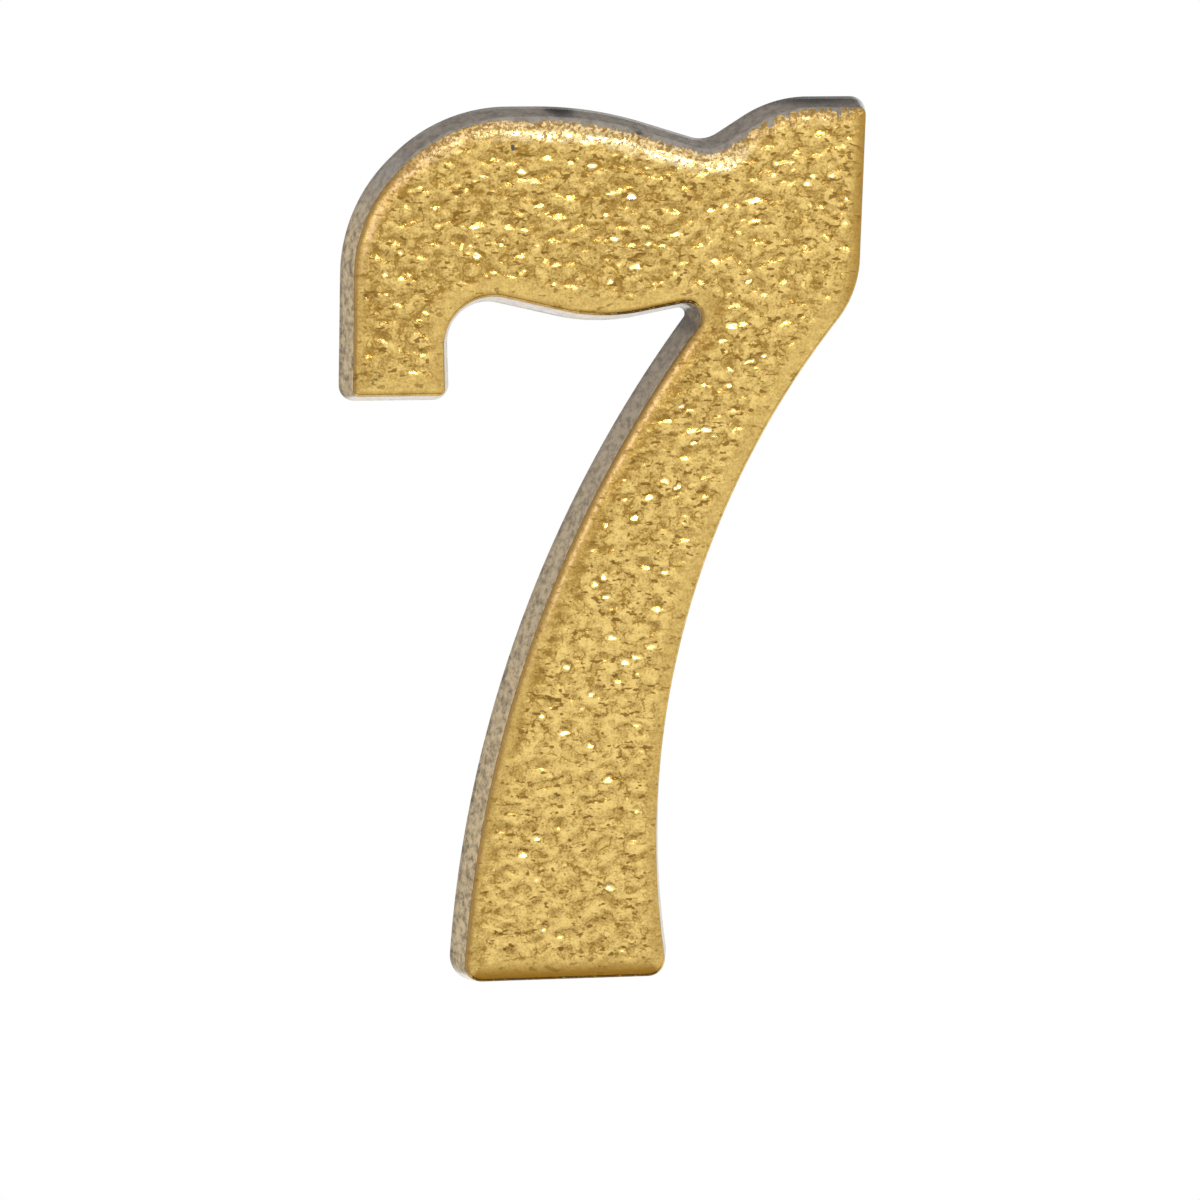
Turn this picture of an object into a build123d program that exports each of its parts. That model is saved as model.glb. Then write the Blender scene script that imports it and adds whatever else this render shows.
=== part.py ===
from build123d import *
import math
import os
import random

# Door numeral seven: one solid moulding, drafted sides, rounded front edge, hammered front face.
# All lengths are in mm and all angles in degrees. The outline sizes are those of the back face.

# Overall size, to the sharp corners of the outline
overall_height = 75.0
overall_width = 44.8
depth = 5.0
draft_angle = 9.5

# Serif, the short leg that hangs at the left end of the bar
serif_drop = 25.3
serif_width = 9.35
serif_neck = 9.1
serif_lean = 0.3

# Bar, its wavy upper edge from the left shoulder to the spur at the right
shoulder_drop = 9.0
shoulder_width = 8.7
shoulder_radius = 13.7
crest_drop = 0.7
crest_reach = 21.3
crest_radius = 31.0
valley_reach = 13.8
valley_drop = 3.7
valley_radius = 2.6
spur_width = 8.0
spur_radius = 10.2
spur_length = 16.7
spur_lean = 0.6

# Bar, its lower edge from the crotch to the hollow beside the serif
crotch_reach = 14.8
crotch_drop = 17.5
crotch_round = 0.5
belly_reach = 21.7
belly_drop = 19.1
belly_radius = 16.5
hollow_drop = 16.15
hollow_radius = 3.4

# Stem, with two long bowed sides that widen again at the foot
bend_radius = 9.6
outer_bow = 6.85
inner_bow = 4.6
foot_reach = 16.55
foot_width = 19.15
foot_rise = 0.15

# Corners of the front face, and the edge all round it
corner_round = 0.5
foot_round = 1.4
edge_round = 0.42

# Hammered face: overlapping shallow blows of one ball, scattered over the front
blow_pitch = 3.4
blow_jitter = 0.6
ball_radius = 7.5
blow_depth = 0.22
depth_spread = 0.04
plain_border = 0.85
scatter_seed = 7

# Limits of the outline
left = -overall_width / 2
right = overall_width / 2
top = overall_height / 2
bottom = -overall_height / 2

# The back is larger all round by the lean of the sides, and its outer corners are rounder by as much
lean = depth * math.tan(math.radians(draft_angle))
back_corner_round = corner_round + lean
back_foot_round = foot_round + lean

# Corners of the outline, clockwise from the inner foot of the serif
serif_inner = (left + serif_width, top - serif_drop)
serif_outer = (left, top - serif_drop)
shoulder_low = (left + serif_lean, top - shoulder_drop)
shoulder_high = (left + shoulder_width, top - crest_drop)
crest = (left + crest_reach, top - crest_drop)
valley = (right - valley_reach, top - valley_drop)
spur_inner = (right - spur_width, top)
spur_outer = (right, top)
bend = (right - spur_lean, top - spur_length)
foot_right = (right - foot_reach, bottom + foot_rise)
foot_left = (right - foot_reach - foot_width, bottom)
crotch = (right - crotch_reach, top - crotch_drop)
belly = (left + belly_reach, top - belly_drop)
hollow = (left + serif_neck, top - hollow_drop)


def leg_radius(before, corner, after, wanted):
    # The wanted radius, or the largest that leaves a short straight on the shorter leg
    arriving = Vector(*corner) - Vector(*before)
    leaving = Vector(*after) - Vector(*corner)
    half_turn = math.radians(arriving.get_angle(leaving)) / 2
    return min(wanted, 0.48 * min(arriving.length, leaving.length) / math.tan(half_turn))


def rounded_run(points, radii):
    # A run of straight legs with each inner corner rounded to its own radius
    fitted = [leg_radius(a, b, c, r) for a, b, c, r in zip(points, points[1:], points[2:], radii)]
    return FilletPolyline(*points, radius=fitted)


def corner_of(face, point):
    # The corner of the face that lies nearest to a point of the outline
    return face.vertices().sort_by_distance(Vector(*point))[0]


# Outline of the back face
upper_points = [serif_inner, serif_outer, shoulder_low, shoulder_high]
upper_points += [crest, valley, spur_inner, spur_outer, bend]
upper_radii = [back_corner_round, shoulder_radius, shoulder_radius]
upper_radii += [crest_radius, valley_radius, spur_radius, back_corner_round]
upper_edge = rounded_run(upper_points, upper_radii)
outer_side = SagittaArc(bend, foot_right, -outer_bow)
foot_edge = Line(foot_right, foot_left)
inner_side = SagittaArc(foot_left, crotch, inner_bow)
lower_edge = rounded_run([crotch, belly, hollow, serif_inner], [belly_radius, hollow_radius])
outline = make_face(Curve() + [upper_edge, outer_side, foot_edge, inner_side, lower_edge])
outline = fillet(corner_of(outline, bend), bend_radius)
outline = fillet([corner_of(outline, foot_right), corner_of(outline, foot_left)], back_foot_round)
outline = fillet(corner_of(outline, serif_inner), back_corner_round)
outline = fillet(corner_of(outline, crotch), crotch_round)

# Body, made lying on its back, its sides leaning in towards the front for release from the mould
body = extrude(outline, amount=depth)
body = draft(body.faces().filter_by(Axis.Z, reverse=True), Plane.XY, draft_angle)
body = fillet(body.faces().sort_by(Axis.Z)[-1].edges(), min(edge_round, 0.85 * corner_round))
front = body.faces().sort_by(Axis.Z)[-1]
rim = front.outer_wire()

# Centres of the blows: rows set over by half a pitch, each centre moved a little at random
scatter = random.Random(scatter_seed)
row_pitch = blow_pitch * math.sqrt(3) / 2
row_count = math.ceil(overall_height / row_pitch) + 1
column_count = math.ceil(overall_width / blow_pitch) + 1
centres = []
for row in range(row_count):
    for column in range(column_count):
        shift = blow_pitch / 2 if row % 2 else 0.0
        x = left + column * blow_pitch + shift + scatter.uniform(-blow_jitter, blow_jitter)
        y = bottom + row * row_pitch + scatter.uniform(-blow_jitter, blow_jitter)
        centres.append(Vector(x, y, depth))

# Each blow is the lowest cap of the ball, pressed in to its own depth clear of the plain border
ball = Rot(90, 0, 0) * Sphere(ball_radius)
cap_height = 1.5 * (blow_depth + depth_spread)
cap = split(ball, bisect_by=Plane.XY.offset(cap_height - ball_radius), keep=Keep.BOTTOM)
blows = []
for centre in centres:
    sink = blow_depth + scatter.uniform(-depth_spread, depth_spread)
    reach = math.sqrt(2 * ball_radius * sink - sink**2)
    if front.is_inside(centre) and rim.distance_to(centre) > reach + plain_border:
        blows.append(Pos(centre.X, centre.Y, depth + ball_radius - sink) * cap)

# Finished numeral, stood upright with its face to the front and its back on the wall plane
numeral = Rot(90, 0, 0) * (body - blows)
numeral.label = "numeral"

os.makedirs("parts", exist_ok=True)
export_step(numeral, "parts/numeral.step")
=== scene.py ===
import math
import random

import bpy
import numpy as np
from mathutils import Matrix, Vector


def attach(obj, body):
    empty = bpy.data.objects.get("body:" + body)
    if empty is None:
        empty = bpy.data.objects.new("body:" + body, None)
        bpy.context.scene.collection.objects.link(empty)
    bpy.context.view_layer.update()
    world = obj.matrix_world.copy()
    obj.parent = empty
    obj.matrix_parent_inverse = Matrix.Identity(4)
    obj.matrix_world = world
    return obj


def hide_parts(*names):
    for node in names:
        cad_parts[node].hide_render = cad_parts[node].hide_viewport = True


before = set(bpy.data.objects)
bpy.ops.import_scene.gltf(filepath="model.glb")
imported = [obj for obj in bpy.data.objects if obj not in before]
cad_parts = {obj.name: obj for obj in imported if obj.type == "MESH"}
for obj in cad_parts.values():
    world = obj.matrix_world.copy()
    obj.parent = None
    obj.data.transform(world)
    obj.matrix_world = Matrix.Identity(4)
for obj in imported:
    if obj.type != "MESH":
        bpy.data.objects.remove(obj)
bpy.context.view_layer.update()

mm = 0.001
scene = bpy.context.scene
scene.view_settings.view_transform = "Standard"

# Numeral, the same sizes as the solid, in mm
numeral = {
    "height": 75.0, "width": 44.8, "depth": 5.0, "draft": 9.5,
    "serifDrop": 25.3, "serifWidth": 9.35, "serifNeck": 9.1, "serifLean": 0.3,
    "shoulderDrop": 9.0, "shoulderWidth": 8.7, "shoulderRadius": 13.7,
    "crestDrop": 0.7, "crestReach": 21.3, "crestRadius": 31.0,
    "valleyReach": 13.8, "valleyDrop": 3.7, "valleyRadius": 2.6,
    "spurWidth": 8.0, "spurRadius": 10.2, "spurLength": 16.7, "spurLean": 0.6,
    "crotchReach": 14.8, "crotchDrop": 17.5, "crotchRound": 0.5,
    "bellyReach": 21.7, "bellyDrop": 19.1, "bellyRadius": 16.5,
    "hollowDrop": 16.15, "hollowRadius": 3.4,
    "bendRadius": 9.6, "outerBow": -6.85, "innerBow": 4.6,
    "footReach": 16.55, "footWidth": 19.15, "footRise": 0.15,
    "cornerRound": 1.34, "footRound": 2.24,
    "lengthCells": 720, "widthCells": 104,   # grid of the front face
    "outlineStep": 0.02, "rimStep": 0.08,   # spacing of the outline's points and of the rim's
}

# Places that the edge and the finish change at, in mm
crotchAt, spurTip = (7.6, 20.0), (22.4, 37.5)
serifRight, topLow = -13.0, 25.0   # the serif lies left of the first, the top edge above the second

# Front edge, in mm: it rolls over widely where it faces up or left and little elsewhere
edge = {
    "roll": (0.5, 1.85), "drop": (0.015, 0.36),   # width and drop of the slight and of the wide form
    "radius": (0.28, 0.45),   # tight rounding between the roll and the wall
    "wander": 0.35, "wanderLength": 1.7, "wanderSeed": 71,   # how far the wide roll strays in and out
    "ruffle": 0.012, "ruffleLength": 0.5, "ruffleSeed": 61,   # unevenness of the wide roll
    "ruffleFade": (-2.0, -1.0), "rimCalm": 0.5, "dentCalm": 0.4,   # how far from the rim they start
    "arcRows": 5, "wallRows": 4,
    "backRound": 0.1, "backRim": 0.15, "backRun": 9.0,   # running length that marks the back
    "openFacing": (-0.25, 0.5),   # from closed to open, as a share of up and left
    "sideRoll": 0.5, "spurRoll": 0.35,   # shares of the wide form on the sides and the spur
    "serifFade": (17.0, 25.0), "stemFade": (-34.0, 0.0), "crotchFade": (0.8, 3.5),
    "shoulderFade": (-11.5, -6.5), "spurFade": (9.5, 12.5), "tipFade": (1.5, 4.5),
}

# Hammered face, in mm
hammer = {
    "wave": 1.7, "waveSlope": 0.068, "waveSeed": 3,   # broad relief, its slope as a spread
    "ripple": 0.8, "rippleSlope": 0.045, "rippleSeed": 4,   # fine relief
    "stretch": 1.3,   # relief is wider than high
    "sink": 0.012, "soft": 0.012,   # relief above the face is flattened to plateaus
    "facetPitch": 2.4, "facetJitter": 1.1, "facetSeed": 51,   # tilted facets that catch the light
    "facetShare": 0.72, "facetShareRun": 120.0, "facetShares": (0.45, 0.9),   # fewer low on the stem
    "facetSmall": 0.44, "facetGrow": 0.52, "facetRare": 1.6,   # sizes, large ones being rare
    "facetLong": (0.9, 1.7), "facetTurn": 0.4, "facetBox": (1.3, 1.0),
    "facetWide": 0.42, "facetHigh": 0.39, "facetWarp": 0.16, "warpLength": 0.45, "warpSeeds": (81, 82),
    "facetSlope": 0.206, "facetRise": 0.0017, "facetSpread": 0.03, "facetHinge": 0.8,
    "grain": 0.006, "grainLength": 0.4, "grainSeed": 31,
    "border": 0.15, "plainBelow": 0.75, "plainAbove": 0.9, "belowFacing": (0.05, 0.65),
    "borderFade": 1.1, "fadeStray": 0.3, "fadeLength": 2.0, "fadeSeed": 41,
}

# Bands of painted highlight, painted shade and tone along the edges, in mm: distances inside the rim, and
# the heights, places and facing that each of them fades in between
bands = {
    "shineGap": 0.28, "shineSpread": 0.14, "shineGain": 1.6,
    "shineSerif": (21.0, 28.0), "shineStem": (-14.0, 0.0),
    "shoulderGap": 0.2, "shoulderSpread": 0.14, "shoulderLeft": (9.0, 14.0), "shoulderHigh": (22.0, 27.0),
    "footFacing": (0.5, 0.9), "footLow": (30.0, 34.0), "footWidth": (-1.5, -0.1),
    "steep": (0.7, 0.95), "spurHigh": (18.0, 22.0), "spurWidth": (-1.1, 0.0), "spurShade": 0.65,
    "underHigh": (10.0, 14.0), "underWidth": (-0.3, 0.0),
    "underRight": (-3.0, 3.0), "underLeast": 0.45, "underMore": 0.5,
    # the line entries below place a painted shade line where the edge turns under
    "lineRight": (-2.0, 5.0), "lineRun": (-0.31, 0.05), "lineStrength": 4.0,   # dark line below
    "downTone": 0.14, "downGain": 1.6,
    "leftTone": 0.14, "leftFacing": (0.3, 0.8), "leftGap": 1.15, "leftSpread": 0.65,
    "stemTone": 0.16, "stemHigh": (-25.0, -5.0),
    "barTone": 0.24, "barHigh": (-15.0, 25.0), "barRight": (3.0, 12.0), "barRightLess": 0.4, "lift": 0.08,
}

# Wear, in mm: x, z, half length, half height, turn in degrees, strength. The spot at 7.0, 19.0 is painted
# shade in the crotch, and the long one at 17.6, 37.6 darkens the spur's top
chipsAndShade = [
    (-8.2, 33.6, 0.28, 0.45, 0.0, 0.8), (-3.9, 36.65, 1.4, 0.6, -4.0, 1.0),
    (2.4, 34.7, 0.4, 0.25, 0.0, 0.85), (17.6, 37.6, 6.0, 0.75, 0.0, 0.86),
    (7.0, 19.0, 1.3, 1.3, 0.0, 0.5),
]
stains = [
    (-19.75, 14.4, 0.8, 0.2, 38.0, 0.9), (-21.5, 14.6, 0.4, 0.25, 20.0, 0.85),
    (-20.5, 21.4, 0.25, 0.2, 0.0, 0.9), (-19.7, 21.4, 0.35, 0.2, 0.0, 0.9),
    (-18.6, 24.9, 0.3, 0.25, 0.0, 0.6), (5.4, 17.6, 1.3, 0.5, 20.0, 0.5),
]


def outlineStretches(s):
    # Sharp corners of the back outline in clockwise order, each with the rounding of its corner
    # and the bow of the stretch that leaves it, bows being positive to the left of travel
    left, right, top, low = -s["width"] / 2, s["width"] / 2, s["height"] / 2, -s["height"] / 2
    return [
        ((left + s["serifWidth"], top - s["serifDrop"]), s["cornerRound"], 0.0),
        ((left, top - s["serifDrop"]), s["cornerRound"], 0.0),
        ((left + s["serifLean"], top - s["shoulderDrop"]), s["shoulderRadius"], 0.0),
        ((left + s["shoulderWidth"], top - s["crestDrop"]), s["shoulderRadius"], 0.0),
        ((left + s["crestReach"], top - s["crestDrop"]), s["crestRadius"], 0.0),
        ((right - s["valleyReach"], top - s["valleyDrop"]), s["valleyRadius"], 0.0),
        ((right - s["spurWidth"], top), s["spurRadius"], 0.0),
        ((right, top), s["cornerRound"], 0.0),
        ((right - s["spurLean"], top - s["spurLength"]), s["bendRadius"], s["outerBow"]),
        ((right - s["footReach"], low + s["footRise"]), s["footRound"], 0.0),
        ((right - s["footReach"] - s["footWidth"], low), s["footRound"], s["innerBow"]),
        ((right - s["crotchReach"], top - s["crotchDrop"]), s["crotchRound"], 0.0),
        ((left + s["bellyReach"], top - s["bellyDrop"]), s["bellyRadius"], 0.0),
        ((left + s["serifNeck"], top - s["hollowDrop"]), s["hollowRadius"], 0.0),
    ]


def stretchShape(start, end, bow):
    # A straight line, or the circle whose arc from start to end rises by the bow above the chord
    chord = end - start
    along = chord / np.linalg.norm(chord)
    side = np.array([-along[1], along[0]])
    if bow == 0.0:
        return {"start": start, "end": end, "side": side, "circle": None}
    radius = (chord @ chord / 4 + bow * bow) / (2 * abs(bow))
    centre = (start + end) / 2 + side * (bow - math.copysign(radius, bow))
    return {"start": start, "end": end, "side": side, "circle": (centre, radius, -math.copysign(1.0, bow))}


def sideDistance(shape, point):
    # Distance of a point to the left of a stretch, and the direction in which it grows
    if shape["circle"] is None:
        return (point - shape["start"]) @ shape["side"], shape["side"]
    centre, radius, way = shape["circle"]
    out = point - centre
    length = np.linalg.norm(out)
    return way * (radius - length), -way * out / length


def travelAt(shape, point):
    # Direction of travel where a stretch passes a point: the growing side turned to the right
    grow = sideDistance(shape, point)[1]
    return np.array([grow[1], -grow[0]])


def roundedCorner(before, after, radius):
    # The rounding's centre lies one radius from both stretches on the side the outline turns to.
    # It is found by Newton steps, and the rounding touches each stretch at the nearest point
    corner = before["end"]
    first, second = travelAt(before, corner), travelAt(after, corner)
    turn = math.copysign(1.0, first[0] * second[1] - first[1] * second[0])
    middle = (sideDistance(before, corner)[1] + sideDistance(after, corner)[1]) / 2
    centre = corner + turn * radius * middle
    newtonSteps = 12
    for step in range(newtonSteps):
        here, slope = sideDistance(before, centre)
        there, lean = sideDistance(after, centre)
        centre = centre - np.linalg.solve(np.array([slope, lean]), np.array([here, there]) - turn * radius)
    touches = []
    for shape in (before, after):
        distance, grow = sideDistance(shape, centre)
        touches.append(centre - distance * grow)
    return centre, touches[0], touches[1], turn


def arcRun(centre, start, end, way, step):
    # Points from start to end round a centre, counterclockwise when way is positive
    first = math.atan2(*(start - centre)[::-1])
    sweep = (math.atan2(*(end - centre)[::-1]) - first) * way % (2 * math.pi)
    radius = np.linalg.norm(start - centre)
    angles = first + way * np.linspace(0.0, sweep, max(4, int(radius * sweep / step)))
    spoke = np.stack([np.cos(angles), np.sin(angles)], 1)
    return centre + radius * spoke, -way * spoke   # the outside lies to the left of travel


def closedOutline(s):
    # Dense points, outward directions and running length once round the back outline
    step = s["outlineStep"]
    corners = outlineStretches(s)
    points = [np.array(c[0]) for c in corners]
    count = len(points)
    shapes = [stretchShape(points[i], points[(i + 1) % count], corners[i][2]) for i in range(count)]
    rounds = [roundedCorner(shapes[i - 1], shapes[i], corners[i][1]) for i in range(count)]
    runs = []
    for i in range(count):
        corner = rounds[(i + 1) % count]
        start, end = rounds[i][2], corner[1]
        if shapes[i]["circle"] is None:
            share = np.linspace(0.0, 1.0, max(3, int(np.linalg.norm(end - start) / step)))[:, None]
            runs.append((start + share * (end - start), np.repeat(shapes[i]["side"][None], len(share), 0)))
        else:
            runs.append(arcRun(shapes[i]["circle"][0], start, end, shapes[i]["circle"][2], step))
        runs.append(arcRun(*corner, step))
    run, out = (np.concatenate([pair[k][:-1] for pair in runs]) for k in (0, 1))
    length = np.concatenate([[0.0], np.cumsum(np.linalg.norm(np.diff(run, axis=0), axis=1))])
    return run, out, length


outlineRun, outlineOut, outlineLength = closedOutline(numeral)
print("outline", len(outlineRun), "points,", round(outlineLength[-1], 1), "mm round")


def lengthAt(x, z):
    # Running length of the outline point nearest to a place
    return outlineLength[np.argmin(np.hypot(outlineRun[:, 0] - x, outlineRun[:, 1] - z))]


def outlineAt(lengths):
    # Places and outward directions at the given running lengths
    place, out = (np.stack([np.interp(lengths, outlineLength, column) for column in values.T], -1)
                  for values in (outlineRun, outlineOut))
    return place, out / np.linalg.norm(out, axis=-1, keepdims=True)


def smoothNoise(x, z, length, seed):
    # Values at the crossings of a square net of the given length, blended smoothly between them
    cells = 256
    net = np.random.RandomState(seed).uniform(-1.0, 1.0, (cells, cells))
    across, up = x / length + cells / 2, z / length + cells / 2
    i, j = np.floor(across).astype(int), np.floor(up).astype(int)
    a, b = across - i, up - j
    a, b = a * a * a * (a * (6 * a - 15) + 10), b * b * b * (b * (6 * b - 15) + 10)
    i, j, k, m = i % cells, j % cells, (i + 1) % cells, (j + 1) % cells
    low = net[i, j] * (1 - a) + net[k, j] * a
    high = net[i, m] * (1 - a) + net[k, m] * a
    return low * (1 - b) + high * b


def unit(value):
    # The value kept between zero and one
    return np.clip(value, 0.0, 1.0)


def smoothStep(value, low, high):
    # Zero below low, one above high, with an even start and end
    share = unit((value - low) / (high - low))
    return share * share * (3 - 2 * share)


def bell(value, middle, spread):
    # One at the middle, falling away evenly to both sides
    return np.exp(-((value - middle) / spread) ** 2)


def openSide(e, out):
    # One where the edge faces up or left, zero where it faces down or right
    return smoothStep((out[..., 1] - out[..., 0]) / math.sqrt(2), *e["openFacing"])


def rollShare(e, place, out):
    # How far the edge takes its wide form: fully from the crest to the valley, half on the shoulder
    # and the upper stem, a third on the spur, and not at all low on the serif, on the foot, in the
    # crotch or at the spur's tip
    x, z = place[..., 0], place[..., 1]
    half = e["sideRoll"]
    serif = half * smoothStep(z, *e["serifFade"])
    fromCrotch = np.hypot(x - crotchAt[0], z - crotchAt[1])
    stem = half * smoothStep(z, *e["stemFade"]) * smoothStep(fromCrotch, *e["crotchFade"])
    fromTip = np.hypot(x - spurTip[0], z - spurTip[1])
    bar = half + (1.0 - half) * smoothStep(x, *e["shoulderFade"])
    bar *= 1.0 - (1.0 - e["spurRoll"]) * smoothStep(x, *e["spurFade"])
    bar *= smoothStep(fromTip, *e["tipFade"])
    return openSide(e, out) * np.where(z > topLow, bar, np.where(x < serifRight, serif, stem))


def rollSizes(e, share):
    # Width, drop and rounding of the rolled edge between its slight and its wide form
    return [slight + share * (wide - slight) for slight, wide in (e["roll"], e["drop"], e["radius"])]


def edgeProfile(s, e, place, out):
    # From the rolled face to the back, one row after another: inset from the back outline, depth
    # below the front, and running length past the start of the wall, negative on the rounding
    draft = math.radians(s["draft"])
    width, fall, radius = rollSizes(e, rollShare(e, place, out))
    startTilt = np.arctan(2 * fall / width)
    endTilt = math.pi / 2 - draft
    tilt = startTilt + np.linspace(0.0, 1.0, e["arcRows"] + 1)[:, None] * (endTilt - startTilt)
    drop = fall + radius * (np.cos(startTilt) - np.cos(tilt))
    wallInset = (s["depth"] - drop[-1]) * math.tan(draft)
    inset = wallInset + radius * (math.sin(endTilt) - np.sin(tilt))
    run = radius * (tilt - endTilt)
    share = np.linspace(0.0, 1.0, e["wallRows"] + 1)[1:, None]
    wallDrop = drop[-1] + share * (s["depth"] - e["backRound"] - drop[-1])
    wallRun = (wallDrop - drop[-1]) / math.cos(draft)
    last = np.ones_like(fall)[None]
    backRows = np.array([[e["backRound"]], [e["backRound"] + e["backRim"]]])
    inset = np.vstack([inset, (s["depth"] - wallDrop) * math.tan(draft), backRows * last])
    drop = np.vstack([drop, wallDrop, s["depth"] * last, s["depth"] * last])
    run = np.vstack([run, wallRun, wallRun[-1:] + e["backRound"], e["backRun"] * last])
    return inset, drop, run


def rimAt(s, e, lengths):
    # Rim of the front face at the given running lengths: the outline moved in by the first inset
    place, out = outlineAt(lengths)
    return place - edgeProfile(s, e, place, out)[0][0][:, None] * out


def ribbonGrid(s, e):
    # Front face as a ribbon from the serif to the foot: each row runs from the outer side of the
    # outline to the inner side, and the four sides are blended into the middle (a Coons patch)
    pairs = [   # matching places on the outer and the inner side
        ((-22.4, 12.2), (-13.05, 12.2)), ((-22.4, 22.4), (-13.2, 17.2)), ((-9.0, 36.8), (-8.5, 20.3)),
        ((8.6, 34.3), (3.2, 19.1)), (spurTip, crotchAt), ((21.5, 20.2), (4.2, 14.8)),
        ((9.0, -3.0), (-5.0, -1.0)), ((5.85, -37.35), (-13.3, -37.5)),
    ]
    outerAt = np.array([lengthAt(*p[0]) for p in pairs])
    innerAt = np.array([lengthAt(*p[1]) for p in pairs])
    spans = (np.abs(np.diff(outerAt)) + np.abs(np.diff(innerAt))) / 2
    knots = np.concatenate([[0.0], np.cumsum(spans)]) / spans.sum()
    u, v = np.linspace(0.0, 1.0, s["lengthCells"] + 1), np.linspace(0.0, 1.0, s["widthCells"] + 1)
    total = outlineLength[-1]
    outer = np.interp(u, knots, outerAt)
    inner = np.interp(u, knots, innerAt)
    foot = np.interp(v, [0.0, 1.0], [outerAt[-1], innerAt[-1]])
    serif = np.interp(v, [0.0, 1.0], [outerAt[0] + total, innerAt[0]]) % total
    a, b, c, d = (rimAt(s, e, lengths) for lengths in (outer, inner, serif, foot))
    c[0], c[-1], d[0], d[-1] = a[0], b[0], a[-1], b[-1]
    along, across = u[:, None, None], v[None, :, None]
    grid = (1 - across) * a[:, None] + across * b[:, None] + (1 - along) * c[None] + along * d[None]
    grid -= (1 - along) * ((1 - across) * a[0] + across * b[0])
    grid -= along * ((1 - across) * a[-1] + across * b[-1])
    rim = np.concatenate([outer[:-1], foot[:-1], inner[::-1][:-1], serif[::-1][:-1]])
    return grid, rim


def nearestOn(points, line, border):
    # Distance from each point to the nearest of a dense run of points, which one that is, and the
    # least distance beyond the border that goes with each point of the run
    batch = 2000
    gaps, which, clear = np.empty(len(points)), np.empty(len(points), int), np.empty(len(points))
    for first in range(0, len(points), batch):
        part = slice(first, first + batch)
        across, up = (points[part, None, k] - line[None, :, k] for k in (0, 1))
        square = across ** 2 + up ** 2
        which[part] = square.argmin(1)
        gaps[part] = np.sqrt(square.min(1))
        clear[part] = (np.sqrt(square) - border).min(1)
    return gaps, which, clear


def facetCentres(s, h):
    # Rows set over by half a pitch, each centre moved a little at random
    scatter = random.Random(h["facetSeed"])
    pitch, jitter = h["facetPitch"], h["facetJitter"]
    rise = pitch * math.sqrt(3) / 2
    centres = []
    for row in range(math.ceil(s["height"] / rise) + 1):
        for column in range(math.ceil(s["width"] / pitch) + 1):
            x = -s["width"] / 2 + (column + 0.5 * (row % 2)) * pitch + scatter.uniform(-jitter, jitter)
            z = -s["height"] / 2 + row * rise + scatter.uniform(-jitter, jitter)
            centres.append((x, z))
    return np.array(centres)


def waveField(x, z, length, stretch, seed):
    # Random relief with one main wavelength and a spread of one: white noise on a square net, of
    # whose waves only those near that length are kept, read off between the net's crossings
    step, across, up, band = 0.07, 1024, 1280, 0.35
    noise = np.random.RandomState(seed).normal(size=(across, up))
    sideways, upwards = np.fft.fftfreq(across, step)[:, None], np.fft.fftfreq(up, step)[None]
    waves = np.hypot(sideways * stretch, upwards) * length
    net = np.fft.ifft2(np.fft.fft2(noise) * bell(waves, 1.0, band)).real
    net /= net.std()
    i, j = x / step + across / 2, z / step + up / 2
    low, left = np.floor(j).astype(int), np.floor(i).astype(int)
    a, b = i - left, j - low
    near = net[left, low] * (1 - a) + net[left + 1, low] * a
    far = net[left, low + 1] * (1 - a) + net[left + 1, low + 1] * a
    return near * (1 - b) + far * b


def facetField(x, z, s, h):
    # Small facets: inside an oval window the face leans back towards the top, more so lower down.
    # The second result is one inside a window
    draw = np.random.RandomState(h["facetSeed"])
    centres = facetCentres(s, h)
    kept = np.clip(h["facetShare"] + centres[:, 1] / h["facetShareRun"], *h["facetShares"])
    centres = centres[draw.uniform(size=len(centres)) < kept]
    count = len(centres)
    sizes = h["facetSmall"] + h["facetGrow"] * draw.uniform(size=count) ** h["facetRare"]
    longs, turns = draw.uniform(*h["facetLong"], count), draw.normal(0.0, h["facetTurn"], count)
    leans = draw.normal(0.0, h["facetSpread"], (count, 2))
    warpX = x + h["facetWarp"] * smoothNoise(x, z, h["warpLength"], h["warpSeeds"][0])
    warpZ = z + h["facetWarp"] * smoothNoise(x, z, h["warpLength"], h["warpSeeds"][1])
    boxWide, boxHigh = h["facetBox"]
    dent, window = np.zeros(len(x)), np.zeros(len(x))
    for (cx, cz), size, long, turn, (upLean, sideLean) in zip(centres, sizes, longs, turns, leans):
        near = np.nonzero((np.abs(x - cx) < boxWide) & (np.abs(z - cz) < boxHigh))[0]
        dx, dz = warpX[near] - cx, warpZ[near] - cz
        along = dx * math.cos(turn) + dz * math.sin(turn)
        across = dz * math.cos(turn) - dx * math.sin(turn)
        high = h["facetHigh"] * size
        ring = (along / (h["facetWide"] * size * long)) ** 2 + (across / high) ** 2
        inside = np.exp(-ring ** 3)
        slope = h["facetSlope"] - h["facetRise"] * cz + upLean
        lean = slope * (z[near] - cz + h["facetHinge"] * high) + sideLean * (x[near] - cx)
        dent[near] += lean * inside
        window[near] = np.maximum(window[near], inside)
    return dent, window


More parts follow.
